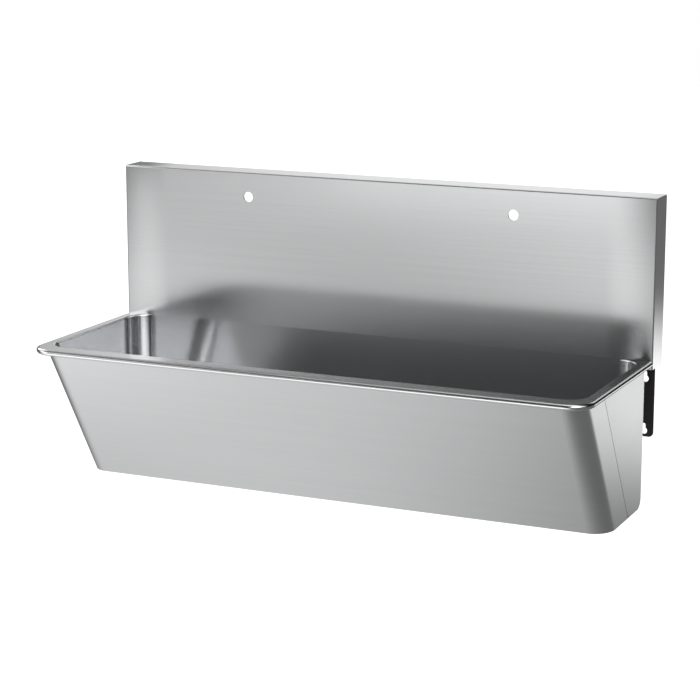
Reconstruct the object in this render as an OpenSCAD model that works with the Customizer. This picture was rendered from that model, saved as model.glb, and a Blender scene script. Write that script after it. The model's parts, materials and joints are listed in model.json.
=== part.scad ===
// Wall-hung trough sink of stainless sheet with a high splashback.
// Origin: centre of the four wall fixings, on the wall plane. The bowl stands out along -Y.

/* [Splashback] */
// Width over the splashback and over the rim
trough_w = 1400; // [1000:10:2400]
// Height of the splashback above the rim
splash_h = 382; // [250:2:500]
// Depth of the returns, from the front face to the wall
return_d = 75; // [55:1:110]
// How far the side returns reach below the rim
return_drop = 20; // [18:1:22]
// Width of the lips that lie on the wall
wall_lip_w = 12; // [8:1:15]
// Thickness of the stainless sheet
sheet_t = 1.5; // [1.2:0.1:2]
// Outer radius of the folds
fold_r = 3; // [2.5:0.5:5]
// Open slit where a side return meets the top return
corner_slit = 0.8; // [0.4:0.1:1.5]

/* [Tap holes] */
// Distance between the two tap holes
tap_pitch = 700; // [400:10:800]
// Diameter of a tap hole
tap_hole_d = 26; // [20:0.5:32]
// Height of the tap holes below the top edge
tap_drop = 61; // [50:1:120]
// Side of the square plates that back the tap holes
backing_w = 60; // [50:1:90]
// Thickness of these plates
backing_t = 3; // [2:0.5:5]

/* [Rim] */
// From the splashback's face to the rim's outermost edge
rim_out = 478; // [440:1:520]
// Width of the rim at the front
rim_front_w = 44; // [40:1:50]
// Width of the rim at the ends
rim_end_w = 24; // [22:0.5:30]
// Outer radius of the rolled edge
roll_r = 7.5; // [6:0.5:8]
// Outer radius of the rim's front corners
rim_corner_r = 55; // [45:1:70]
// Radius of the edge from the rim down into the bowl
lip_r = 4; // [3:0.5:6]

/* [Bowl] */
// Depth of the bowl at its back wall
bowl_h = 338; // [260:1:342]
// Slope of the front wall, in degrees from upright
front_slope = 31.5; // [25:0.5:34]
// Fall of the floor towards the back, in degrees
floor_fall = 2; // [1:0.5:3]
// Radius of the upright corners at the back
back_corner_r = 52; // [35:1:70]
// Radius of the front corners, seen from above
front_corner_r = 45; // [30:1:60]
// Radius between the floor and the back wall
back_bend_r = 22; // [12:1:30]
// Radius between the floor and the front wall
front_bend_r = 35; // [20:1:50]
// Radius between the floor and the end walls
end_bend_r = 25; // [12:1:35]

/* [Apron and ends] */
// Height of the apron, from the top of the rim to its lower edge
apron_h = 355; // [350:1:380]
// How far its slant would come out at the rim's level
apron_out = 464.5; // [455:0.5:470]
// Distance of the end plates inside the rim's outer edge
end_inset = 20; // [19.5:0.5:21]
// Radius of the bends at the apron's front corners
apron_corner_r = 48; // [35:1:60]
// Width of the apron's return on the end, from its lower front edge to the seam
seam_back = 152; // [130:1:170]
// Gap that shows at the seam
seam_gap = 1; // [0.6:0.1:1.5]
// Depth of the folds behind the seam
seam_fold = 4; // [2.5:0.5:4.5]
// Radius of the end plates' lower rear corners
heel_r = 25; // [15:1:35]
// Width of the flange under the apron and the end plates
foot_flange_w = 15; // [10:1:20]
// Distance from the ends of the apron's flanges to its corner bends
bend_relief = 6; // [2:1:12]
// Width of the end plates' rear flanges beyond the bracket studs
stud_margin = 25; // [20:1:40]
// Height of the gap between the rim's top and the apron's slanted sheet
apron_drop = 10; // [9:0.5:12]
// Number of spacers between the apron and the bowl
rib_count = 3; // [2:1:6]
// Width of a spacer
rib_w = 30; // [20:1:50]
// Length of a spacer along the slope
rib_len = 240; // [120:5:280]

/* [Wall brackets] */
// Distance of the keyholes inside the ends of the splashback
keyhole_in = 38; // [35:1:40]
// Distance between the upper and the lower keyholes
keyhole_pitch_z = 127; // [110:1:140]
// Height of the rim above the centre of the keyholes
rim_above_fixings = 122; // [120:1:130]
// Diameter of a keyhole's round part
keyhole_d = 17; // [14:0.5:18]
// Width of a keyhole's slot
slot_w = 8.5; // [6.5:0.5:9]
// Height of the slot's round end above the keyhole's centre
slot_rise = 14; // [12:0.5:16]
// Thickness of the bracket steel
bracket_t = 4; // [3:0.5:5]
// Top of the bracket above the centre of the keyholes
bracket_up = 99; // [96:1:100]
// Foot of the bracket below the centre of the keyholes
bracket_down = 78; // [76:1:90]
// Width of the bracket beyond its keyholes
bracket_edge = 23; // [18:1:25]
// Width of the bracket's flange on the bowl
bowl_flange_w = 43; // [40:1:45]
// Radius of the bracket's corners
bracket_corner_r = 11; // [6:1:16]

/* [Bracket fixings] */
// Diameter of the weld studs
stud_d = 8; // [6:1:8]
// Length of the weld studs
stud_len = 18; // [17:1:24]
// Distance between the studs of one bracket
stud_pitch = 100; // [80:1:120]
// Distance of the studs from the bracket's web
stud_in = 24; // [22:1:26]
// Diameter of the washers
washer_d = 16; // [15:1:18]
// Thickness of the washers
washer_t = 1.6; // [1:0.1:2]
// Width across flats of the nuts
nut_af = 13; // [12:1:14]
// Height of the nuts
nut_h = 6.5; // [5:0.5:7]

/* [Waste] */
// From the splashback's face to the waste
waste_back = 105; // [85:1:130]
// Radius of the sump around the waste
sump_r = 44; // [40:1:50]
// Depth of the sump below the floor at the back wall
sump_drop = 3; // [2:0.5:5]
// Diameter of the waste's flange
waste_flange_d = 74; // [68:1:78]
// Thickness of the waste's flange
waste_flange_t = 3.5; // [3:0.5:5]
// Outside diameter of the threaded tail
tail_d = 47.8; // [47:0.1:48]
// Mean diameter of its thread, where the nut's thread meets it
thread_mean_d = 46.3; // [45:0.1:46.8]
// Bore of the tail
tail_bore = 40; // [32:1:42]
// Length of the tail below the flange
tail_len = 48; // [40:1:70]
// Thickness of the upper seal
upper_seal_t = 1.5; // [1:0.5:3]
// Thickness of the lower seal
lower_seal_t = 3; // [2:0.5:5]
// Thickness of the slip washer
slip_washer_t = 1; // [0.5:0.5:2]
// Width across flats of the back nut
back_nut_af = 62; // [60:1:68]
// Height of the back nut
back_nut_h = 9; // [6:0.5:12]
// Diameter of the strainer grid
grid_d = 52; // [48:1:56]
// Thickness of the strainer grid
grid_t = 1.5; // [1:0.5:2]
// Diameter of the holes in the grid
grid_hole_d = 6.5; // [5:0.5:7]
// Diameter of the grid's screw
grid_screw_d = 5; // [4:0.5:6]
// Length of the grid's screw
grid_screw_len = 14; // [12:1:18]

/* [Earth tag and pads] */
// Width of the earth tag
tag_w = 16; // [14:1:24]
// Length of the earth tag's leg
tag_len = 22; // [18:1:30]
// Diameter of the earth bolt
earth_bolt_d = 6; // [5:1:6]
// Length of the earth bolt
earth_bolt_len = 16; // [14:1:20]
// Length of a damping pad
pad_len = 400; // [200:10:420]
// Width of a damping pad
pad_w = 130; // [60:5:140]
// Thickness of a damping pad
pad_t = 3; // [2:0.5:5]

/* [Hidden] */
$fn = 96;

// Overrun of the cuts
cut = 1;
// More than any distance in the part
far = 2 * trough_w;

stainless = [0.76, 0.77, 0.78];
stainless_dark = [0.66, 0.67, 0.68];
black_steel = [0.13, 0.13, 0.14];
zinc = [0.70, 0.71, 0.69];
seal_rubber = [0.10, 0.10, 0.10];
slip_plastic = [0.90, 0.90, 0.87];
chrome_brass = [0.82, 0.83, 0.84];
tag_brass = [0.78, 0.62, 0.30];
pad_grey = [0.22, 0.22, 0.23];

half_w = trough_w / 2;
body_half = half_w - end_inset;

// Bowl: half width between the end walls, and the front wall's place under the lip
bowl_half = half_w - rim_end_w - lip_r;
bowl_front = rim_out - rim_front_w - lip_r;
slope_k = tan(front_slope);
fall_k = tan(floor_fall);
// A slanted bend of this radius looks like front_corner_r from above
slant_corner_r = 2 * front_corner_r / (1 + 1 / cos(front_slope));
floor_front_y = (slope_k * (bowl_h - lip_r) - bowl_front) / (1 - slope_k * fall_k);
floor_front_z = -bowl_h - floor_front_y * fall_k;
back_flat_half = bowl_half - back_corner_r;

// Outside of the bowl's back wall, and of the end plates' rear flanges on it
bowl_back_y = sheet_t;
flange_back_y = bowl_back_y + sheet_t;

// Apron: the seam lies this far behind the slanted front, square to it
seam_s = seam_back * cos(front_slope);
apron_foot = apron_out - slope_k * apron_h;
apron_top_y = apron_y(-apron_drop, 0);
apron_flat_half = body_half - apron_corner_r;
apron_flange_half = apron_flat_half - bend_relief;
// Space for the spacers between the apron and the bowl's front wall
rib_deep = (bowl_wall_y(0) - apron_y(0, 0)) * cos(front_slope) - 2 * sheet_t;

// Brackets
key_x = half_w - keyhole_in;
bracket_out = key_x + bracket_edge;
web_x = key_x - bracket_edge;
stud_x = web_x - stud_in;
rear_flange_w = body_half - stud_x + stud_margin;
bracket_fold_r = bracket_t + sheet_t;
stud_clear = 0.5;

// Waste: levels in the trough's frame
sump_z = -bowl_h - sump_drop;
sump_wall_h = sheet_t + sump_drop + (waste_back + sump_r) * fall_k;
sump_hole_clear = 1.8;
sump_hole_r = tail_d / 2 + sump_hole_clear;
flange_z = sump_z + upper_seal_t;
tail_end_z = flange_z - tail_len;
lower_seal_z = sump_z - sheet_t - lower_seal_t;
slip_washer_z = lower_seal_z - slip_washer_t;
back_nut_z = slip_washer_z - back_nut_h;
grid_z = flange_z + waste_flange_t - grid_t;
bridge_w = 2 * grid_screw_d;
screw_reach_share = 0.9;
bridge_z = grid_z - screw_reach_share * grid_screw_len;
// Rings of holes, as shares of the grid's radius
ring_shares = [0.42, 0.76];
grid_gap = 0.3;
screw_clear = 0.25;
thread_clear = 0.15;
// Stretch of the mean diameter below the back nut
nut_run = 1;
shoulder_z = back_nut_z - nut_run;

// Earth tag: behind the bowl, beside the left bracket
tag_beside = 90;
tag_x = tag_beside - stud_x;
tag_up = 40;
tag_z = tag_up - bowl_h;
tag_bolt_share = 0.62;
earth_nut_af = 10;
earth_nut_h = 5;
earth_head_h = 4;

// Middle of a damping pad, as a share of the bowl's half width
pad_x_share = 0.52;

// Outer face of the apron at height z, moved back by s square to the slope
function apron_y(z, s) = -apron_foot - slope_k * (z + apron_h) + s / cos(front_slope);
// Inner face of the bowl's front wall at height z
function bowl_wall_y(z) = -bowl_front - slope_k * (z + lip_r);

function unit(v) = v / norm(v);
function left_of(v) = [-v[1], v[0]];
// Corner b of an anticlockwise outline after both its edges have moved out by d
function moved_corner(a, b, c, d) =
  let (n = -left_of(unit(b - a)), m = -left_of(unit(c - b)))
  b + d * (n + m) / (1 + n * m);
function before(i, n) = (i + n - 1) % n;
function after(i, n) = (i + 1) % n;
// Outline with every edge moved out by d
function grown(pts, d) = let (n = len(pts))
  [for (i = [0:n - 1]) moved_corner(pts[before(i, n)], pts[i], pts[after(i, n)], d)];
// Length from corner b to where a fillet of radius r starts
function fillet_len(a, b, c, r) =
  let (u = unit(b - a), v = unit(c - b)) r * sqrt((1 - u * v) / (1 + u * v));

// Convex anticlockwise outline with true arcs of the radii rs at its corners
module rounded(pts, rs) {
  n = len(pts);
  polygon([for (i = [0:n - 1])
    let (a = pts[before(i, n)], b = pts[i], c = pts[after(i, n)], l = fillet_len(a, b, c, rs[i]))
    each rs[i] > 0 ? [b - l * unit(b - a), b + l * unit(c - b)] : [b]]);
  for (i = [0:n - 1])
    if (rs[i] > 0)
      translate(moved_corner(pts[before(i, n)], pts[i], pts[after(i, n)], -rs[i])) circle(r = rs[i]);
}

// Outline grown by g, radii and all
module rounded_grown(pts, rs, g) {
  rounded(grown(pts, g), [for (r = rs) r > 0 ? r + g : 0]);
}

// Outline drawn in Y and Z, made solid along X from -half to half
module along_x(half) {
  rotate([90, 0, 90]) linear_extrude(height = 2 * half, center = true) children();
}

// Outline drawn in X and Z, made solid along Y between the two places
module along_y(y0, y1) {
  translate([0, y1, 0]) rotate([90, 0, 0]) linear_extrude(height = y1 - y0) children();
}

// Outline drawn in X and Y, made solid along Z between the two places
module along_z(z0, z1) {
  translate([0, 0, z0]) linear_extrude(height = z1 - z0) children();
}

// Quarter of a ring, from direction a to a + 90 degrees
module quarter_ring(r_out, r_in, a) {
  rotate([0, 0, a]) intersection() {
    difference() {
      circle(r = r_out);
      circle(r = r_in);
    }
    square([r_out, r_out]);
  }
}

// Trough's frame: the splashback's front plane is Y = 0 and the top of the rim is Z = 0
module trough_frame() {
  translate([0, -return_d, rim_above_fixings]) children();
}

module both_ends() {
  children();
  mirror([1, 0, 0]) children();
}

// Box from corner to corner
module block(low, high) {
  translate(low) cube(high - low);
}

// Splashback: a folded sheet with top and side returns and lips on the wall
module splash_solid(g) {
  r = fold_r + g;
  intersection() {
    along_x(far) rounded([[-g, -far], [far, -far], [far, splash_h + g], [-g, splash_h + g]],
      [0, 0, 0, r]);
    along_z(-far, far) rounded([[-half_w - g, -g], [half_w + g, -g], [half_w + g, far],
      [-half_w - g, far]], [r, r, 0, 0]);
    block([-far, -far, -return_drop], [far, return_d, far]);
  }
}

module splash_inside() {
  intersection() {
    splash_solid(-sheet_t);
    block([-far, 0, -return_drop - cut], [far, return_d - sheet_t, far]);
  }
  // Open foot
  block([-half_w + sheet_t, sheet_t, -return_drop - cut],
    [half_w - sheet_t, return_d - sheet_t, splash_h / 2]);
  // Opening between the lips on the wall
  block([-half_w + wall_lip_w, sheet_t, -return_drop - cut],
    [half_w - wall_lip_w, return_d + cut, splash_h - wall_lip_w]);
}

module splashback() {
  color(stainless) trough_frame() difference() {
    splash_solid(0);
    splash_inside();
    // Lower edge of the face: on the bowl's back wall, then behind the corner ledges
    block([-back_flat_half, -cut, -return_drop - cut], [back_flat_half, sheet_t + cut, 0]);
    both_ends() block([back_flat_half - cut, -cut, -return_drop - cut],
      [body_half + seam_gap, sheet_t + cut, -lip_r]);
    // Slits at the corners of the folds
    both_ends() block([half_w - sheet_t - cut, fold_r, splash_h - sheet_t - corner_slit],
      [half_w + cut, return_d + cut, splash_h - sheet_t]);
    for (side = [-1, 1])
      translate([side * tap_pitch / 2, 0, splash_h - tap_drop])
        rotate([90, 0, 0]) cylinder(d = tap_hole_d, h = 4 * cut + 2 * sheet_t, center = true);
  }
}

module tap_backing_plates() {
  color(zinc) trough_frame() for (side = [-1, 1])
    translate([side * tap_pitch / 2, sheet_t, splash_h - tap_drop])
      along_y(0, backing_t) difference() {
        rounded([[-backing_w / 2, -backing_w / 2], [backing_w / 2, -backing_w / 2],
          [backing_w / 2, backing_w / 2], [-backing_w / 2, backing_w / 2]],
          [backing_t, backing_t, backing_t, backing_t]);
        circle(d = tap_hole_d);
      }
}

// All that lies beyond a fillet of radius r at the corner of two edges at the origin,
// one running up and one running left
module beyond_fillet(r) {
  translate([-r, r]) difference() {
    translate([0, -far]) square([far, far]);
    circle(r = r);
  }
}

// Inside of the bowl, grown by g on every side and open at the top
module bowl_solid(g) {
  difference() {
    difference() {
      difference() {
        along_x(bowl_half + g) rounded_grown([[0, -bowl_h], [0, return_d],
          [bowl_wall_y(return_d), return_d], [floor_front_y, floor_front_z]],
          [back_bend_r, 0, 0, front_bend_r], g);
        // Bends to the floor
        both_ends() translate([0, 0, -bowl_h]) rotate([-floor_fall, 0, 0]) along_y(-far, far)
          translate([bowl_half + g, -g]) beyond_fillet(end_bend_r + g);
      }
      // Slanted bends to the front wall
      both_ends() translate([0, -bowl_front, -lip_r]) rotate([front_slope, 0, 0]) along_z(-far, far)
        translate([bowl_half + g, -g]) beyond_fillet(slant_corner_r + g);
    }
    // Upright bends to the back wall
    both_ends() along_z(-far, far) translate([bowl_half + g, g]) mirror([0, 1])
      beyond_fillet(back_corner_r + g);
  }
}

module bowl() {
  color(stainless) trough_frame() difference() {
    union() {
      difference() {
        bowl_solid(sheet_t);
        // Top edge: under the rim's lip, and higher up where it meets the splashback
        block([-far, -far, -lip_r], [far, -back_corner_r, far]);
        both_ends() block([back_flat_half, -back_corner_r - cut, -lip_r], [far, far, far]);
        block([-back_flat_half - cut, -back_corner_r - cut, 0], [back_flat_half + cut, far, far]);
      }
      translate([0, -waste_back, sump_z - sheet_t]) cylinder(r = sump_r + sheet_t, h = sump_wall_h);
    }
    bowl_solid(0);
    translate([0, -waste_back, sump_z]) cylinder(r = sump_r, h = bowl_h / 2);
    translate([0, -waste_back, sump_z - sheet_t - cut]) cylinder(r = sump_hole_r, h = 2 * cut + sheet_t);
  }
}

// Section of the rolled edge: the land's end at the left, the roll at the right
module roll_section() {
  translate([0, -roll_r]) for (a = [-180, -90, 0]) quarter_ring(roll_r, roll_r - sheet_t, a);
  translate([-roll_r, -sheet_t]) square([roll_r, sheet_t]);
}

// Section of the edge into the bowl: the wall's side at the left, the land at the right
module lip_section() {
  translate([lip_r, -lip_r]) quarter_ring(lip_r, lip_r - sheet_t, 90);
  translate([lip_r, -sheet_t]) square([lip_r, sheet_t]);
}

// Carries a section round the front and both ends, at x and y from the middle and the
// splashback, with corners of radius r at the front
module round_the_rim(x, y, r, y_end) {
  // Front
  translate([0, -y, 0]) rotate([90, 0, -90]) linear_extrude(height = 2 * (x - r), center = true)
    children();
  both_ends() {
    translate([x, 0, 0]) along_y(r - y, y_end) children();
    translate([x - r, r - y, 0]) rotate([0, 0, -90]) rotate_extrude(angle = 90)
      translate([r, 0]) children();
  }
}

// Opening in the land, grown by g
module land_opening(g) {
  rounded_grown([[-bowl_half, -bowl_front], [bowl_half, -bowl_front], [bowl_half, 0],
    [-bowl_half, 0]], [front_corner_r, front_corner_r, back_corner_r, back_corner_r], g);
}

module rim() {
  roll_x = half_w - roll_r;
  roll_y = rim_out - roll_r;
  roll_corner = rim_corner_r - roll_r;
  color(stainless) trough_frame() intersection() {
    union() {
      along_z(-sheet_t, 0) difference() {
        rounded([[-roll_x, -roll_y], [roll_x, -roll_y], [roll_x, sheet_t], [-roll_x, sheet_t]],
          [roll_corner, roll_corner, 0, 0]);
        land_opening(lip_r);
      }
      round_the_rim(roll_x, roll_y, roll_corner, sheet_t) roll_section();
      round_the_rim(bowl_half, bowl_front, front_corner_r, -back_corner_r) lip_section();
      both_ends() translate([back_flat_half, -back_corner_r, 0]) rotate_extrude(angle = 90)
        translate([back_corner_r, 0]) lip_section();
    }
    block([-far, -far, -far], [far, 0, far]);
  }
}

// Section of the apron square to its slope: front, two bends and the returns on the ends
module apron_section() {
  outer = [[-body_half, 0], [body_half, 0], [body_half, seam_s], [-body_half, seam_s]];
  inner = [[-body_half + sheet_t, sheet_t], [body_half - sheet_t, sheet_t],
    [body_half - sheet_t, seam_s + cut], [-body_half + sheet_t, seam_s + cut]];
  difference() {
    rounded(outer, [apron_corner_r, apron_corner_r, 0, 0]);
    rounded(inner, [apron_corner_r - sheet_t, apron_corner_r - sheet_t, 0, 0]);
  }
  for (side = [-1, 1])
    translate([side * (body_half - (seam_fold + sheet_t) / 2), seam_s - sheet_t / 2])
      square([seam_fold + sheet_t, sheet_t], center = true);
}

module front_apron() {
  color(stainless) trough_frame() {
    intersection() {
      translate([0, -apron_foot, -apron_h]) rotate([front_slope, 0, 0]) along_z(-far, far)
        apron_section();
      block([-far, -far, -apron_h], [far, far, -apron_drop]);
    }
    block([-apron_flange_half, -apron_foot, -apron_h],
      [apron_flange_half, foot_flange_w - apron_foot, sheet_t - apron_h]);
    block([-apron_flange_half, apron_top_y, -apron_drop],
      [apron_flange_half, apron_top_y + sheet_t, -sheet_t]);
  }
}

module end_plate() {
  seam_s0 = seam_s + seam_gap;
  outline = [[flange_back_y, -apron_h], [flange_back_y, -lip_r], [apron_y(-lip_r, seam_s0), -lip_r],
    [apron_y(-apron_h, seam_s0), -apron_h]];
  // Plate
  translate([body_half - sheet_t / 2, 0, 0]) along_x(sheet_t / 2) rounded(outline, [heel_r, 0, 0, 0]);
  // Fold behind the seam
  translate([body_half - (seam_fold + sheet_t) / 2, 0, 0]) along_x((seam_fold + sheet_t) / 2)
    polygon([[apron_y(-lip_r, seam_s0), -lip_r], [apron_y(-apron_h, seam_s0), -apron_h],
      [apron_y(-apron_h, seam_s0 + sheet_t), -apron_h], [apron_y(-lip_r, seam_s0 + sheet_t), -lip_r]]);
  // Foot flange
  block([body_half - foot_flange_w, apron_y(-apron_h, seam_s0), -apron_h],
    [body_half, flange_back_y - heel_r, sheet_t - apron_h]);
  // Rear flange on the bowl's back wall, with holes for the studs
  difference() {
    block([body_half - rear_flange_w, bowl_back_y, heel_r - apron_h],
      [body_half, flange_back_y, -return_drop]);
    stud_places() rotate([90, 0, 0]) cylinder(d = stud_d + 2 * stud_clear, h = far, center = true);
  }
}

module end_plate_left() {
  color(stainless) trough_frame() mirror([1, 0, 0]) end_plate();
}

module end_plate_right() {
  color(stainless) trough_frame() end_plate();
}

// Channel-shaped spacers along the slope, on the apron and on the bowl's front wall
module apron_ribs() {
  step = 2 * apron_flat_half / rib_count;
  color(stainless_dark) trough_frame() for (i = [0:rib_count - 1])
    translate([(i + 0.5) * step - apron_flat_half, apron_y(-apron_h / 2, sheet_t), -apron_h / 2])
      rotate([front_slope, 0, 0]) along_z(-rib_len / 2, rib_len / 2) difference() {
        translate([-rib_w / 2, 0]) square([rib_w, rib_deep]);
        translate([sheet_t - rib_w / 2, sheet_t]) square([rib_w, rib_deep - 2 * sheet_t]);
      }
}

// Places of the two studs of the right bracket, on the bowl's back wall
module stud_places() {
  for (side = [-1, 1])
    translate([stud_x, bowl_back_y, side * stud_pitch / 2 - rim_above_fixings]) children();
}

// Keyhole: round part at its place, slot above it
module keyhole() {
  circle(d = keyhole_d);
  translate([0, slot_rise]) circle(d = slot_w);
  translate([-slot_w / 2, 0]) square([slot_w, slot_rise]);
}

// Section of the right bracket seen from above: bowl flange, web and wall flange
module bracket_section() {
  r = bracket_fold_r;
  inner = web_x + bracket_t - bowl_flange_w;
  translate([inner, flange_back_y]) square([bowl_flange_w - r, bracket_t]);
  translate([web_x + bracket_t - r, flange_back_y + r]) quarter_ring(r, r - bracket_t, -90);
  translate([web_x, flange_back_y + r]) square([bracket_t, return_d - flange_back_y - 2 * r]);
  translate([web_x + r, return_d - r]) quarter_ring(r, r - bracket_t, 90);
  translate([web_x + r, return_d - bracket_t]) square([bracket_out - web_x - r, bracket_t]);
}

module wall_bracket() {
  low_x = web_x + bracket_t - bowl_flange_w;
  top_z = bracket_up - rim_above_fixings;
  foot_z = -bracket_down - rim_above_fixings;
  difference() {
    intersection() {
      along_z(foot_z, top_z) bracket_section();
      along_y(-far, far) rounded([[low_x, foot_z], [bracket_out, foot_z], [bracket_out, top_z],
        [low_x, top_z]], [for (i = [0:3]) bracket_corner_r]);
    }
    for (side = [-1, 1])
      translate([key_x, 0, side * keyhole_pitch_z / 2 - rim_above_fixings])
        along_y(return_d / 2, return_d + cut) keyhole();
    stud_places() rotate([90, 0, 0]) cylinder(d = stud_d + 2 * stud_clear, h = return_d, center = true);
  }
}

module wall_bracket_left() {
  color(black_steel) trough_frame() mirror([1, 0, 0]) wall_bracket();
}

module wall_bracket_right() {
  color(black_steel) trough_frame() wall_bracket();
}

module bracket_studs() {
  color(stainless_dark) trough_frame() both_ends() stud_places()
    rotate([-90, 0, 0]) cylinder(d = stud_d, h = stud_len);
}

// Washer lying on the bracket's flange
module washer(d_out, d_in, t) {
  difference() {
    cylinder(d = d_out, h = t);
    translate([0, 0, -cut]) cylinder(d = d_in, h = t + 2 * cut);
  }
}

module hex_nut(af, d_in, h) {
  difference() {
    cylinder(d = af / cos(30), h = h, $fn = 6);
    translate([0, 0, -cut]) cylinder(d = d_in, h = h + 2 * cut);
  }
}

module bracket_washers() {
  color(zinc) trough_frame() both_ends() stud_places()
    translate([0, sheet_t + bracket_t, 0]) rotate([-90, 0, 0])
      washer(washer_d, stud_d + 2 * thread_clear, washer_t);
}

module bracket_nuts() {
  color(zinc) trough_frame() both_ends() stud_places()
    translate([0, sheet_t + bracket_t + washer_t, 0]) rotate([-90, 0, 0])
      hex_nut(nut_af, stud_d + 2 * thread_clear, nut_h);
}

module waste_place(z) {
  trough_frame() translate([0, -waste_back, z]) children();
}

// Flanged outlet with a threaded tail and a bridge that holds the grid's screw
module waste_body() {
  color(chrome_brass) waste_place(0) {
    difference() {
      union() {
        translate([0, 0, flange_z]) cylinder(d = waste_flange_d, h = waste_flange_t);
        translate([0, 0, tail_end_z]) cylinder(d = thread_mean_d, h = tail_len + waste_flange_t / 2);
        translate([0, 0, tail_end_z]) cylinder(d = tail_d, h = shoulder_z - tail_end_z);
      }
      translate([0, 0, tail_end_z - cut]) cylinder(d = tail_bore, h = tail_len + 2 * waste_flange_t);
      translate([0, 0, grid_z]) cylinder(d = grid_d + 2 * grid_gap, h = waste_flange_t);
    }
    difference() {
      translate([0, 0, bridge_z + bridge_w / 4]) intersection() {
        cube([tail_bore + sheet_t, bridge_w, bridge_w / 2], center = true);
        cylinder(d = tail_bore + sheet_t, h = bridge_w, center = true);
      }
      translate([0, 0, bridge_z - cut]) cylinder(d = grid_screw_d + 2 * thread_clear, h = bridge_w);
    }
  }
}

module waste_upper_seal() {
  color(seal_rubber) waste_place(sump_z)
    washer(waste_flange_d - 2 * sheet_t, tail_d + 2 * screw_clear, upper_seal_t);
}

module waste_lower_seal() {
  color(seal_rubber) waste_place(lower_seal_z)
    washer(waste_flange_d - 2 * sheet_t, tail_d + 2 * screw_clear, lower_seal_t);
}

module waste_slip_washer() {
  color(slip_plastic) waste_place(slip_washer_z)
    washer(back_nut_af + 2 * sheet_t, tail_d + 2 * screw_clear, slip_washer_t);
}

module waste_back_nut() {
  color(chrome_brass) waste_place(back_nut_z) hex_nut(back_nut_af, thread_mean_d + 2 * thread_clear, back_nut_h);
}

// Round grid with two rings of holes round its screw
module strainer_grid() {
  color(stainless) waste_place(grid_z) difference() {
    cylinder(d = grid_d, h = grid_t);
    translate([0, 0, -cut]) cylinder(d = grid_screw_d + 2 * screw_clear, h = grid_t + 2 * cut);
    for (ring = [0:len(ring_shares) - 1])
      for (i = [0:6 * ring + 5])
        rotate([0, 0, i * 60 / (ring + 1)]) translate([ring_shares[ring] * grid_d / 2, 0, -cut])
          cylinder(d = grid_hole_d, h = grid_t + 2 * cut);
  }
}

// Screw with a shallow domed head and a slot
module strainer_screw() {
  head_r = grid_screw_d;
  head_h = 0.4 * grid_screw_d;
  color(stainless_dark) waste_place(grid_z + grid_t) {
    translate([0, 0, -grid_screw_len]) cylinder(d = grid_screw_d, h = grid_screw_len + head_h / 2);
    difference() {
      cylinder(r = head_r, h = head_h);
      translate([0, 0, head_h]) cube([3 * head_r, head_h / 2, head_h], center = true);
    }
  }
}

module tag_place() {
  trough_frame() translate([tag_x, bowl_back_y, tag_z]) children();
}

// Angle welded to the bowl's back wall, with its leg towards the wall
module earth_tag() {
  color(stainless_dark) tag_place() difference() {
    union() {
      block([-tag_w, 0, 0], [0, sheet_t, tag_w]);
      block([-sheet_t, 0, 0], [0, tag_len, tag_w]);
    }
    translate([0, tag_bolt_share * tag_len, tag_w / 2]) rotate([0, 90, 0])
      cylinder(d = earth_bolt_d + 2 * screw_clear, h = 3 * tag_w, center = true);
  }
}

module earth_bolt() {
  color(tag_brass) tag_place() translate([0, tag_bolt_share * tag_len, tag_w / 2]) rotate([0, 90, 0]) {
    cylinder(d = earth_nut_af / cos(30), h = earth_head_h, $fn = 6);
    translate([0, 0, -earth_bolt_len]) cylinder(d = earth_bolt_d, h = earth_bolt_len + earth_head_h / 2);
  }
}

module earth_nut() {
  color(tag_brass) tag_place()
    translate([-sheet_t - earth_nut_h, tag_bolt_share * tag_len, tag_w / 2]) rotate([0, 90, 0])
      hex_nut(earth_nut_af, earth_bolt_d + 2 * thread_clear, earth_nut_h);
}

// Pads glued under the floor, either side of the sump
module damping_pads() {
  color(pad_grey) trough_frame() for (side = [-1, 1])
    translate([side * pad_x_share * bowl_half, 0, -bowl_h]) rotate([-floor_fall, 0, 0])
      block([-pad_len / 2, -waste_back - pad_w / 2, -sheet_t - pad_t],
        [pad_len / 2, -waste_back + pad_w / 2, -sheet_t]);
}

splashback();
tap_backing_plates();
bowl();
rim();
front_apron();
end_plate_left();
end_plate_right();
apron_ribs();
wall_bracket_left();
wall_bracket_right();
bracket_studs();
bracket_washers();
bracket_nuts();
waste_body();
waste_upper_seal();
waste_lower_seal();
waste_slip_washer();
waste_back_nut();
strainer_grid();
strainer_screw();
earth_tag();
earth_bolt();
earth_nut();
damping_pads();
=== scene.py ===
"""Wall-hung stainless trough sink: the finishes of its pieces, the studio and the camera.

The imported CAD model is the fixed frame. Every size here is in metres, in that frame:
the origin is the centre of the four wall fixings, +Y runs into the wall and +Z up.
All pieces keep their CAD shape, and each sub-assembly dresses its own.
"""

import json
import logging
import math
from dataclasses import dataclass, field
from enum import Enum

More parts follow.
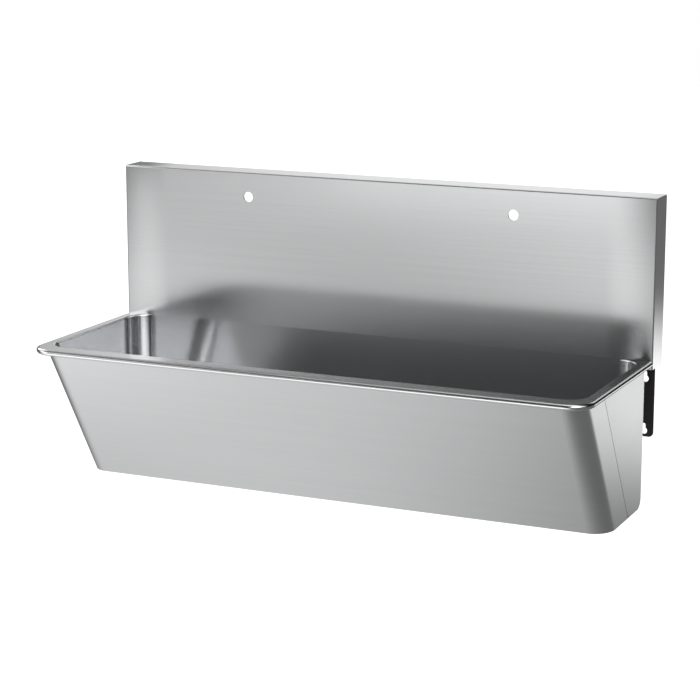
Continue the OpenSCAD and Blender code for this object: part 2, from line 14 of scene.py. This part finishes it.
import bpy
from mathutils import Euler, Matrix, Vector

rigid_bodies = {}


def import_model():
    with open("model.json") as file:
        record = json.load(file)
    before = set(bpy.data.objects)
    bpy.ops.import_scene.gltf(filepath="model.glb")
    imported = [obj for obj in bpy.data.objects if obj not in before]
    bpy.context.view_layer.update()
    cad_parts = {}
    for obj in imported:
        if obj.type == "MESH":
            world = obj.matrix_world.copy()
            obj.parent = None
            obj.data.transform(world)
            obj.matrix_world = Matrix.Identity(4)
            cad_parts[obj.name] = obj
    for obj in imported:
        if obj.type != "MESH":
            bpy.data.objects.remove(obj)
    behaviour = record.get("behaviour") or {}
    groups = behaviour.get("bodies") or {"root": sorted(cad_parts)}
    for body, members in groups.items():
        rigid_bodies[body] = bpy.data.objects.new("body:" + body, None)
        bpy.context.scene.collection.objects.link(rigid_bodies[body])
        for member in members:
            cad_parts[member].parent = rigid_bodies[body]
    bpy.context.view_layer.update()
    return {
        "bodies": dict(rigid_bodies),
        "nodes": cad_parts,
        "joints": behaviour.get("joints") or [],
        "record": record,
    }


logging.basicConfig(level=logging.INFO, format="%(message)s")
LOG = logging.getLogger("trough_sink")

Colour = tuple[float, float, float, float]
Point = tuple[float, float, float]
Socket = bpy.types.NodeSocket

# Most of a noise texture's values lie between these two.
NOISE_LOW = 0.3
NOISE_HIGH = 0.7

# Places of the colour sockets on a Mix node, whose names repeat.
MIX_FACTOR = 0
MIX_A = 6
MIX_B = 7
MIX_RESULT = 2


class Grain(Enum):
    """Direction of the brushed grain on a sheet, as the scale of its noise along X, Y and Z."""

    LEVEL = (1.5, 1.5, 260.0)
    ALONG_X = (1.5, 260.0, 260.0)
    NONE = (60.0, 60.0, 60.0)


class NodeTree:
    """Small helper that places and links nodes in one node tree."""

    def __init__(self, tree: bpy.types.NodeTree) -> None:
        """Keep the tree that the nodes go into.

        Args:
            tree: The node tree of a material, of the world or of a group.
        """
        self.tree = tree

    def add(self, kind: str, **values: object) -> bpy.types.Node:
        """Add a node and set its input sockets or attributes by name.

        Args:
            kind: The node's type identifier.
            **values: Attribute names, or socket names with spaces written as underscores.

        Returns:
            The new node.
        """
        node = self.tree.nodes.new(kind)
        for name, value in values.items():
            socket = node.inputs.get(name.replace("_", " "))
            if socket is None:
                setattr(node, name, value)
            else:
                socket.default_value = value
        return node

    def link(self, source: Socket, target: Socket) -> None:
        """Link an output socket to an input socket."""
        self.tree.links.new(source, target)

    def calculate(self, operation: str, *terms: Socket | float) -> Socket:
        """Add a Math node.

        Args:
            operation: The node's operation.
            *terms: Its one or two terms, each a socket or a number.

        Returns:
            The result's socket.
        """
        node = self.add("ShaderNodeMath", operation=operation)
        for place, term in enumerate(terms):
            if isinstance(term, Socket):
                self.link(term, node.inputs[place])
            else:
                node.inputs[place].default_value = term
        return node.outputs["Value"]

    def spread(self, value: Socket, source: tuple[float, float], target: tuple[float, float],
               curve: str = "LINEAR") -> bpy.types.Node:
        """Add a node that carries a value from one range to another.

        Args:
            value: Socket of the value.
            source: The range that it comes from.
            target: The range that it goes to.
            curve: The node's interpolation type.

        Returns:
            The new node, whose Result is the new value.
        """
        node = self.add("ShaderNodeMapRange", interpolation_type=curve, From_Min=source[0],
                        From_Max=source[1], To_Min=target[0], To_Max=target[1])
        self.link(value, node.inputs["Value"])
        return node


def new_group(name: str, inputs: dict[str, tuple[str, object]],
              outputs: dict[str, str]) -> bpy.types.NodeTree:
    """Make an empty shader node group with named sockets.

    Args:
        name: Name of the group.
        inputs: Socket name to its socket type and default value.
        outputs: Socket name to its socket type.

    Returns:
        The new group, with its input and output nodes placed.
    """
    group = bpy.data.node_groups.new(name, "ShaderNodeTree")
    for label, (kind, value) in inputs.items():
        socket = group.interface.new_socket(label, in_out="INPUT", socket_type=kind)
        socket.default_value = value
    for label, kind in outputs.items():
        group.interface.new_socket(label, in_out="OUTPUT", socket_type=kind)
    group.nodes.new("NodeGroupInput")
    group.nodes.new("NodeGroupOutput")
    return group


def brushed_grain_group() -> bpy.types.NodeTree:
    """Build the group for fine brushed grain.

    Returns:
        A group that puts out a grain mask and a soft cloud mask.
    """
    group = new_group(
        "brushed_grain",
        {"Stretch": ("NodeSocketVector", Grain.ALONG_X.value), "Cloud Size": ("NodeSocketFloat", 3.0)},
        {"Grain": "NodeSocketFloat", "Cloud": "NodeSocketFloat"},
    )
    nt = NodeTree(group)
    given = group.nodes["Group Input"].outputs
    result = group.nodes["Group Output"].inputs
    coords = nt.add("ShaderNodeTexCoord")
    stretch = nt.add("ShaderNodeMapping")
    nt.link(coords.outputs["Object"], stretch.inputs["Vector"])
    nt.link(given["Stretch"], stretch.inputs["Scale"])
    fine = nt.add("ShaderNodeTexNoise", Scale=1.0, Detail=2.0, Roughness=0.5)
    nt.link(stretch.outputs["Vector"], fine.inputs["Vector"])
    cloud = nt.add("ShaderNodeTexNoise", Detail=3.0, Roughness=0.5)
    nt.link(coords.outputs["Object"], cloud.inputs["Vector"])
    nt.link(given["Cloud Size"], cloud.inputs["Scale"])
    nt.link(fine.outputs["Fac"], result["Grain"])
    nt.link(cloud.outputs["Fac"], result["Cloud"])
    return group


def fold_pull_group() -> bpy.types.NodeTree:
    """Build the group for the slight crown that folding leaves in a sheet near its ends.

    Returns:
        A group that puts out a normal, which leans outwards near both ends.
    """
    group = new_group(
        "fold_pull",
        {"Flat Half Width": ("NodeSocketFloat", 0.5), "Pull": ("NodeSocketFloat", 1.0)},
        {"Normal": "NodeSocketVector"},
    )
    nt = NodeTree(group)
    given = group.nodes["Group Input"].outputs
    coords = nt.add("ShaderNodeTexCoord")
    axes = nt.add("ShaderNodeSeparateXYZ")
    nt.link(coords.outputs["Object"], axes.inputs["Vector"])
    aside = nt.calculate("ABSOLUTE", axes.outputs["X"])
    past_flat = nt.calculate("SUBTRACT", aside, given["Flat Half Width"])
    outside = nt.calculate("MAXIMUM", past_flat, 0.0)
    drop = nt.calculate("MULTIPLY", nt.calculate("MULTIPLY", outside, outside), given["Pull"])
    bump = nt.add("ShaderNodeBump", invert=True, Strength=1.0, Distance=1.0)
    nt.link(drop, bump.inputs["Height"])
    nt.link(bump.outputs["Normal"], group.nodes["Group Output"].inputs["Normal"])
    return group


def joint_shade_line_group() -> bpy.types.NodeTree:
    """Build the group for a line of painted shade along a plane, where the joint between two sheets lies in
    shade.

    Returns:
        A group that puts out 1 on the plane, where the painted shade is darkest, and fades to 0 at the half
        width.
    """
    group = new_group(
        "joint_shade_line",
        {
            "Across": ("NodeSocketVector", (0.0, 1.0, 0.0)),
            "Offset": ("NodeSocketFloat", 0.0),
            "Core": ("NodeSocketFloat", 0.0),
            "Half Width": ("NodeSocketFloat", 0.001),
        },
        {"Line": "NodeSocketFloat"},
    )
    nt = NodeTree(group)
    given = group.nodes["Group Input"].outputs
    coords = nt.add("ShaderNodeTexCoord")
    behind = nt.add("ShaderNodeVectorMath", operation="DOT_PRODUCT")
    nt.link(coords.outputs["Object"], behind.inputs[0])
    nt.link(given["Across"], behind.inputs[1])
    away = nt.calculate("ABSOLUTE", nt.calculate("ADD", behind.outputs["Value"], given["Offset"]))
    line = nt.spread(away, (0.0, 1.0), (1.0, 0.0), "SMOOTHSTEP")
    nt.link(given["Core"], line.inputs["From Min"])
    nt.link(given["Half Width"], line.inputs["From Max"])
    nt.link(line.outputs["Result"], group.nodes["Group Output"].inputs["Line"])
    return group


def speckle_group() -> bpy.types.NodeTree:
    """Build the group for fine speckle, as on powder coat, rubber and plated zinc.

    Returns:
        A group that puts out a speckle mask and a bumped normal.
    """
    group = new_group(
        "speckle",
        {
            "Size": ("NodeSocketFloat", 900.0),
            "Bump": ("NodeSocketFloat", 0.15),
            "Depth": ("NodeSocketFloat", 0.0002),
        },
        {"Speckle": "NodeSocketFloat", "Normal": "NodeSocketVector"},
    )
    nt = NodeTree(group)
    given = group.nodes["Group Input"].outputs
    result = group.nodes["Group Output"].inputs
    coords = nt.add("ShaderNodeTexCoord")
    noise = nt.add("ShaderNodeTexNoise", Detail=4.0, Roughness=0.6)
    nt.link(coords.outputs["Object"], noise.inputs["Vector"])
    nt.link(given["Size"], noise.inputs["Scale"])
    bump = nt.add("ShaderNodeBump")
    nt.link(given["Bump"], bump.inputs["Strength"])
    nt.link(given["Depth"], bump.inputs["Distance"])
    nt.link(noise.outputs["Fac"], bump.inputs["Height"])
    nt.link(noise.outputs["Fac"], result["Speckle"])
    nt.link(bump.outputs["Normal"], result["Normal"])
    return group


@dataclass
class Effects:
    """The node groups that the finishes share, each built once."""

    grain: bpy.types.NodeTree = field(default_factory=brushed_grain_group)
    fold_pull: bpy.types.NodeTree = field(default_factory=fold_pull_group)
    joint_shade_line: bpy.types.NodeTree = field(default_factory=joint_shade_line_group)
    speckle: bpy.types.NodeTree = field(default_factory=speckle_group)


def blend_colours(nt: NodeTree, mask: Socket, dark: Colour, light: Colour) -> Socket:
    """Blend two colours by a noise mask.

    Args:
        nt: Tree that the ramp goes into.
        mask: Socket of the mask.
        dark: Colour where the mask is low.
        light: Colour where the mask is high.

    Returns:
        The colour's socket.
    """
    ramp = nt.add("ShaderNodeValToRGB")
    first, last = ramp.color_ramp.elements
    first.position, first.color = NOISE_LOW, dark
    last.position, last.color = NOISE_HIGH, light
    nt.link(mask, ramp.inputs["Fac"])
    return ramp.outputs["Color"]


def vary(nt: NodeTree, mask: Socket, between: tuple[float, float]) -> Socket:
    """Vary a value between two numbers by a noise mask."""
    return nt.spread(mask, (NOISE_LOW, NOISE_HIGH), between).outputs["Result"]


@dataclass(frozen=True)
class FoldPull:
    """Slight crown near a folded sheet's two ends, which gathers light in upright bands."""

    flat_half_width: float
    pull: float

    def normal(self, nt: NodeTree, effects: Effects) -> Socket:
        """Place the effect in a material.

        Args:
            nt: Tree of the material.
            effects: The shared node groups.

        Returns:
            The normal's socket.
        """
        node = nt.add("ShaderNodeGroup", node_tree=effects.fold_pull,
                      Flat_Half_Width=self.flat_half_width, Pull=self.pull)
        return node.outputs["Normal"]


@dataclass(frozen=True)
class JointShadeLine:
    """Painted shade along the joint between two sheets: a dark line that stands in for the shade in the gap,
    on a plane that leans by the apron's slope.
    """

    slope_deg: float
    # How far the plane passes in front of and below the origin, square to itself.
    offset: float
    core: float = 0.0004
    half_width: float = 0.0016
    # Colour of the painted shade in the joint's gap.
    colour: Colour = (0.10, 0.10, 0.105, 1.0)

    def drawn_over(self, nt: NodeTree, effects: Effects, colour: Socket) -> Socket:
        """Place the effect in a material.

        Args:
            nt: Tree of the material.
            effects: The shared node groups.
            colour: Colour of the sheet beside the joint.

        Returns:
            The colour's socket, with the painted shade of the joint in it.
        """
        slope = math.radians(self.slope_deg)
        line = nt.add("ShaderNodeGroup", node_tree=effects.joint_shade_line, Offset=self.offset,
                      Across=(0.0, math.cos(slope), math.sin(slope)),
                      Core=self.core, Half_Width=self.half_width)
        mix = nt.add("ShaderNodeMix", data_type="RGBA", blend_type="MIX")
        nt.link(line.outputs["Line"], mix.inputs[MIX_FACTOR])
        nt.link(colour, mix.inputs[MIX_A])
        mix.inputs[MIX_B].default_value = self.colour
        return mix.outputs[MIX_RESULT]


@dataclass(frozen=True)
class BrushedSteel:
    """Satin stainless sheet with grain in one direction."""

    name: str
    grain: Grain
    dark: Colour = (0.58, 0.585, 0.59, 1.0)
    light: Colour = (0.60, 0.605, 0.61, 1.0)
    rough: tuple[float, float] = (0.30, 0.33)
    anisotropy: float = 0.5
    # The gloss spreads along this direction. Its small Y keeps it from standing square to a face.
    spread_along: Point = (0.0, 0.05, 1.0)
    fold: FoldPull | None = None
    # Painted shade along a joint, drawn over the grain's colour.
    joint: JointShadeLine | None = None

    def build(self, effects: Effects) -> bpy.types.Material:
        """Build the material.

        Args:
            effects: The shared node groups.

        Returns:
            The new material.
        """
        mat = bpy.data.materials.new(self.name)
        mat.use_nodes = True
        nt = NodeTree(mat.node_tree)
        shader = mat.node_tree.nodes["Principled BSDF"]
        shader.inputs["Metallic"].default_value = 1.0
        shader.inputs["Anisotropic"].default_value = self.anisotropy
        grain = nt.add("ShaderNodeGroup", node_tree=effects.grain, Stretch=self.grain.value)
        colour = blend_colours(nt, grain.outputs["Grain"], self.dark, self.light)
        # Paint the joint's shade over the grain's colour.
        if self.joint:
            colour = self.joint.drawn_over(nt, effects, colour)
        nt.link(colour, shader.inputs["Base Color"])
        nt.link(vary(nt, grain.outputs["Cloud"], self.rough), shader.inputs["Roughness"])
        if self.fold:
            nt.link(self.fold.normal(nt, effects), shader.inputs["Normal"])
        x, y, z = self.spread_along
        tangent = nt.add("ShaderNodeCombineXYZ", X=x, Y=y, Z=z)
        nt.link(tangent.outputs["Vector"], shader.inputs["Tangent"])
        return mat


@dataclass(frozen=True)
class Speckled:
    """Finish with a fine speckle: powder coat, plated or cast metal, rubber or moulded plastic."""

    name: str
    dark: Colour
    light: Colour
    rough: tuple[float, float]
    metallic: float = 0.0
    size: float = 900.0
    bump: float = 0.15

    def build(self, effects: Effects) -> bpy.types.Material:
        """Build the material.

        Args:
            effects: The shared node groups.

        Returns:
            The new material.
        """
        mat = bpy.data.materials.new(self.name)
        mat.use_nodes = True
        nt = NodeTree(mat.node_tree)
        shader = mat.node_tree.nodes["Principled BSDF"]
        shader.inputs["Metallic"].default_value = self.metallic
        speckle = nt.add("ShaderNodeGroup", node_tree=effects.speckle, Size=self.size, Bump=self.bump)
        mask = speckle.outputs["Speckle"]
        nt.link(blend_colours(nt, mask, self.dark, self.light), shader.inputs["Base Color"])
        nt.link(vary(nt, mask, self.rough), shader.inputs["Roughness"])
        nt.link(speckle.outputs["Normal"], shader.inputs["Normal"])
        return mat


Finish = BrushedSteel | Speckled

# Finishes that pieces of more than one sub-assembly have.
MILL_STEEL = BrushedSteel("mill_steel", Grain.NONE, rough=(0.38, 0.5))
BRIGHT_ZINC = Speckled("bright_zinc", dark=(0.5, 0.51, 0.5, 1.0), light=(0.62, 0.63, 0.61, 1.0),
                       rough=(0.3, 0.42), metallic=1.0, size=260.0, bump=0.05)


@dataclass
class Workshop:
    """The loaded frame with the shared effects, where each finish is built once."""

    frame: dict
    effects: Effects = field(default_factory=Effects)
    built: dict[str, bpy.types.Material] = field(default_factory=dict)

    def dress(self, finish: Finish, *node_names: str) -> None:
        """Give pieces one finish through their material slots.

        Args:
            finish: The finish, which is built at its first use.
            *node_names: Names of the CAD nodes.
        """
        if finish.name not in self.built:
            self.built[finish.name] = finish.build(self.effects)
        for name in node_names:
            for slot in self.frame["nodes"][name].material_slots:
                slot.material = self.built[finish.name]
            LOG.info("%s: %s", name, finish.name)


@dataclass
class Splashback:
    """High back sheet, pierced for two taps, with a doubler behind each hole."""

    flat_half_width: float = 0.58
    pull: float = 0.8

    def dress(self, shop: Workshop) -> None:
        """Give the splashback and its backing plates their finishes.

        Args:
            shop: The frame's pieces and the finishes.
        """
        fold = FoldPull(self.flat_half_width, self.pull)
        shop.dress(BrushedSteel("splash_steel", Grain.LEVEL, rough=(0.19, 0.21), anisotropy=0.8,
                                spread_along=(1.0, 0.05, 0.0), fold=fold), "splashback")
        shop.dress(BRIGHT_ZINC, "tap_backing_plates")


@dataclass
class Basin:
    """Bowl, its rolled rim and the damping pads under its floor."""

    bowl_rough: tuple[float, float] = (0.13, 0.16)
    rim_rough: tuple[float, float] = (0.20, 0.24)

    def dress(self, shop: Workshop) -> None:
        """Give the bowl, the rim and the pads their finishes.

        Args:
            shop: The frame's pieces and the finishes.
        """
        shop.dress(BrushedSteel("bowl_steel", Grain.LEVEL, rough=self.bowl_rough), "bowl")
        shop.dress(BrushedSteel("rim_steel", Grain.ALONG_X, rough=self.rim_rough, anisotropy=0.0), "rim")
        shop.dress(Speckled("pad_rubber_grey", dark=(0.03, 0.03, 0.032, 1.0), light=(0.06, 0.06, 0.064, 1.0),
                            rough=(0.75, 0.9), size=300.0, bump=0.4), "damping_pads")


@dataclass
class Casing:
    """Front apron, which wraps round both front corners, the end plates behind it and its ribs."""

    slope_deg: float = 31.5
    # The joint's plane stands at the rear edge of the apron's legs.
    joint_offset: float = 0.2667

    def dress(self, shop: Workshop) -> None:
        """Give the apron, the end plates and the ribs their finishes.

        Args:
            shop: The frame's pieces and the finishes.
        """
        # The apron and the end plates get a dark line of painted shade along their joint.
        joint = JointShadeLine(self.slope_deg, self.joint_offset)
        shop.dress(BrushedSteel("apron_steel", Grain.LEVEL, joint=joint), "front_apron")
        shop.dress(BrushedSteel("end_steel", Grain.LEVEL, joint=joint), "end_plate_left", "end_plate_right")
        shop.dress(MILL_STEEL, "apron_ribs")


@dataclass
class WallBrackets:
    """Two keyhole brackets on the wall, with the studs, washers and nuts that hold the bowl on them."""

    black: Speckled = Speckled("black_powder_coat", dark=(0.012, 0.012, 0.013, 1.0),
                               light=(0.03, 0.03, 0.032, 1.0), rough=(0.45, 0.6))

    def dress(self, shop: Workshop) -> None:
        """Give the brackets and their fasteners their finishes.

        Args:
            shop: The frame's pieces and the finishes.
        """
        shop.dress(self.black, "wall_bracket_left", "wall_bracket_right")
        shop.dress(MILL_STEEL, "bracket_studs")
        shop.dress(BRIGHT_ZINC, "bracket_washers", "bracket_nuts")


@dataclass
class Waste:
    """Waste outlet in the bowl's floor, with its grid, seals, slip washer and back nut."""

    chrome: Speckled = Speckled("polished_chrome", dark=(0.6, 0.6, 0.61, 1.0), light=(0.66, 0.66, 0.67, 1.0),
                                rough=(0.08, 0.12), metallic=1.0, size=120.0, bump=0.01)
    grid: BrushedSteel = BrushedSteel("grid_steel", Grain.ALONG_X, rough=(0.22, 0.3))
    seal: Speckled = Speckled("seal_rubber_black", dark=(0.012, 0.012, 0.012, 1.0),
                              light=(0.025, 0.025, 0.025, 1.0), rough=(0.6, 0.75))
    slip: Speckled = Speckled("slip_plastic_white", dark=(0.72, 0.72, 0.69, 1.0), light=(0.8, 0.8, 0.77, 1.0),
                              rough=(0.35, 0.45), size=500.0, bump=0.03)

    def dress(self, shop: Workshop) -> None:
        """Give the pieces of the waste their finishes.

        Args:
            shop: The frame's pieces and the finishes.
        """
        shop.dress(self.chrome, "waste_body", "waste_back_nut")
        shop.dress(self.grid, "strainer_grid")
        shop.dress(MILL_STEEL, "strainer_screw")
        shop.dress(self.seal, "waste_upper_seal", "waste_lower_seal")
        shop.dress(self.slip, "waste_slip_washer")


@dataclass
class EarthPoint:
    """Bonding tag behind the bowl, with its bolt and nut."""

    brass: Speckled = Speckled("turned_brass", dark=(0.55, 0.38, 0.14, 1.0), light=(0.68, 0.48, 0.2, 1.0),
                               rough=(0.25, 0.38), metallic=1.0, size=400.0, bump=0.04)

    def dress(self, shop: Workshop) -> None:
        """Give the tag, the bolt and the nut their finishes."""
        shop.dress(MILL_STEEL, "earth_tag")
        shop.dress(self.brass, "earth_bolt", "earth_nut")


@dataclass(frozen=True)
class AirGlow:
    """Wide soft light in the studio's air, as a diffuser in front of a lamp gives.

    The azimuth is 0 straight in front of the trough and grows towards its right.
    """

    azimuth_deg: float
    elevation_deg: float
    half_angle_deg: float
    strength: float

    def brightness(self, nt: NodeTree) -> Socket:
        """Work out this light's brightness in one direction.

        Args:
            nt: Tree of the world.

        Returns:
            The brightness: full in the light's middle, none outside its half angle.
        """
        azimuth, elevation = math.radians(self.azimuth_deg), math.radians(self.elevation_deg)
        level = math.cos(elevation)
        coords = nt.add("ShaderNodeTexCoord")
        facing = nt.add("ShaderNodeVectorMath", operation="DOT_PRODUCT")
        nt.link(coords.outputs["Generated"], facing.inputs[0])
        facing.inputs[1].default_value = (math.sin(azimuth) * level, -math.cos(azimuth) * level,
                                          math.sin(elevation))
        edge = math.cos(math.radians(self.half_angle_deg))
        fade = nt.spread(facing.outputs["Value"], (edge, 1.0), (0.0, self.strength), "SMOOTHSTEP")
        return fade.outputs["Result"]


@dataclass(frozen=True)
class FloorGlow:
    """Soft pool of light on the studio's floor, by its place in metres."""

    x: float
    y: float
    radius: float
    strength: float

    def brightness(self, nt: NodeTree) -> Socket:
        """Work out this pool's brightness at one point of the floor.

        Args:
            nt: Tree of the floor's finish.

        Returns:
            The brightness: full in the pool's middle, none past its radius.
        """
        coords = nt.add("ShaderNodeTexCoord")
        away = nt.add("ShaderNodeVectorMath", operation="DISTANCE")
        nt.link(coords.outputs["Object"], away.inputs[0])
        away.inputs[1].default_value = (self.x, self.y, 0.0)
        fade = nt.spread(away.outputs["Value"], (0.0, self.radius), (self.strength, 0.0), "SMOOTHSTEP")
        return fade.outputs["Result"]


def add_up(nt: NodeTree, base: float, glows: tuple[AirGlow | FloorGlow, ...]) -> Socket:
    """Add the brightness of several soft lights to a base level.

    Args:
        nt: Tree that the nodes go into.
        base: Brightness where no light reaches.
        glows: The lights, at least one.

    Returns:
        The socket of the sum.
    """
    total: Socket | float = base
    for glow in glows:
        total = nt.calculate("ADD", total, glow.brightness(nt))
    return total


@dataclass
class Studio:
    """Pale floor and air, soft lights and the camera.

    The camera sees the air and the floor as white. The pieces are lit by soft lights in dark air
    and by pools of light on a dim floor, and the steel mirrors them.
    """

    floor_z: float = -0.75
    floor_size: float = 30.0
    sensor_mm: float = 36.0
    lens_mm: float = 110.827
    camera_at: Point = (2.0812, -4.8038, 1.2303)
    yaw_deg: float = 24.481
    pitch_deg: float = 12.492
    white: Colour = (1.0, 1.0, 1.0, 1.0)
    floor_grey: Colour = (0.5, 0.5, 0.5, 1.0)
    floor_white: float = 0.86
    air_base: float = 0.0
    floor_base: float = 0.2
    air_glows: tuple[AirGlow, ...] = (
        # In front at the right. The bowl's left wall mirrors the brighter one.
        AirGlow(40.0, 32.0, 26.0, 4.5),
        AirGlow(70.0, 32.0, 26.0, 1.5),
        # In front at the left, low.
        AirGlow(-60.0, 8.0, 26.0, 2.5),
        AirGlow(-36.0, 14.0, 12.0, 2.0),
        # In front at the left, high and dim.
        AirGlow(-60.0, 58.0, 30.0, 0.4),
        # Behind at the left.
        AirGlow(-110.0, 32.0, 26.0, 3.0),
        AirGlow(-140.0, 34.0, 26.0, 0.6),
        # Behind: one for the rim's lands and the top return, one for the rim's roll at the right.
        AirGlow(-160.0, 14.0, 18.0, 1.1),
        AirGlow(170.0, 26.0, 16.0, 1.0),
        # Overhead.
        AirGlow(0.0, 88.0, 30.0, 1.5),
    )
    floor_glows: tuple[FloorGlow, ...] = (
        # Far in front.
        FloorGlow(-2.5, -10.0, 5.0, 2.0),
        # In front, for the splashback.
        FloorGlow(0.0, -5.5, 3.0, 1.2),
        FloorGlow(-4.0, -4.0, 3.0, 1.2),
        FloorGlow(-6.0, -6.0, 2.2, 1.2),
        # Close in front.
        FloorGlow(0.0, -2.5, 1.8, 2.5),
        FloorGlow(-1.8, -1.8, 1.8, 2.0),
        # Under the trough, for the apron.
        FloorGlow(-0.5, -0.5, 1.8, 0.7),
        # Behind at the right, for the trough's right end.
        FloorGlow(2.0, 3.2, 2.0, 1.8),
    )

    def show_camera(self, nt: NodeTree, seen: Socket, others: Socket, surface: Socket) -> None:
        """Show one shader to the camera and another to all other rays.

        Args:
            nt: Tree that the nodes go into.
            seen: Shader that the camera sees.
            others: Shader that lights the pieces and that they mirror.
            surface: The output's Surface socket.
        """
        path = nt.add("ShaderNodeLightPath")
        mix = nt.add("ShaderNodeMixShader")
        nt.link(path.outputs["Is Camera Ray"], mix.inputs["Fac"])
        nt.link(others, mix.inputs[1])
        nt.link(seen, mix.inputs[2])
        nt.link(mix.outputs["Shader"], surface)

    def build_world(self) -> None:
        """Set the studio's air, which the camera sees as white."""
        world = bpy.data.worlds.new("studio_air")
        world.use_nodes = True
        nt = NodeTree(world.node_tree)
        nodes = world.node_tree.nodes
        soft = nodes["Background"]
        soft.inputs["Color"].default_value = self.white
        nt.link(add_up(nt, self.air_base, self.air_glows), soft.inputs["Strength"])
        seen = nt.add("ShaderNodeBackground", Color=self.white, Strength=1.0)
        self.show_camera(nt, seen.outputs["Background"], soft.outputs["Background"],
                         nodes["World Output"].inputs["Surface"])
        bpy.context.scene.world = world

    def floor_finish(self) -> bpy.types.Material:
        """Build the floor's finish: to the camera white with a matt part, to the pieces pools of light.

        Returns:
            The new material.
        """
        mat = bpy.data.materials.new("pale_floor")
        mat.use_nodes = True
        nt = NodeTree(mat.node_tree)
        nodes = mat.node_tree.nodes
        matt = nodes["Principled BSDF"]
        matt.inputs["Base Color"].default_value = self.floor_grey
        matt.inputs["Roughness"].default_value = 1.0
        glow = nt.add("ShaderNodeEmission", Color=self.white, Strength=self.floor_white)
        seen = nt.add("ShaderNodeAddShader")
        nt.link(glow.outputs["Emission"], seen.inputs[0])
        nt.link(matt.outputs["BSDF"], seen.inputs[1])
        pools = nt.add("ShaderNodeEmission", Color=self.white)
        nt.link(add_up(nt, self.floor_base, self.floor_glows), pools.inputs["Strength"])
        self.show_camera(nt, seen.outputs["Shader"], pools.outputs["Emission"],
                         nodes["Material Output"].inputs["Surface"])
        return mat

    def build_floor(self) -> None:
        """Add the pale floor under the trough."""
        bpy.ops.mesh.primitive_plane_add(size=self.floor_size, location=(0.0, 0.0, 0.0))
        floor = bpy.context.object
        floor.name = "floor"
        floor.location.z = self.floor_z
        floor.data.materials.append(self.floor_finish())

    def build_camera(self) -> None:
        """Add the camera at the photograph's viewing angle."""
        data = bpy.data.cameras.new("camera")
        data.sensor_width = self.sensor_mm
        data.lens = self.lens_mm
        camera = bpy.data.objects.new("camera", data)
        camera.location = self.camera_at
        camera.rotation_euler = Euler((math.radians(90.0 - self.pitch_deg), 0.0, math.radians(self.yaw_deg)))
        bpy.context.scene.collection.objects.link(camera)
        bpy.context.scene.camera = camera

    def build(self) -> None:
        """Build the whole studio."""
        self.build_world()
        self.build_floor()
        self.build_camera()
        bpy.context.scene.view_settings.view_transform = "Standard"
        LOG.info("studio: floor, air and camera")


def main() -> None:
    """Load the frame, dress its sub-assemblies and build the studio."""
    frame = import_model()
    shop = Workshop(frame)
    for sub_assembly in (Splashback(), Basin(), Casing(), WallBrackets(), Waste(), EarthPoint()):
        sub_assembly.dress(shop)
    Studio().build()


if __name__ == "__main__":
    main()
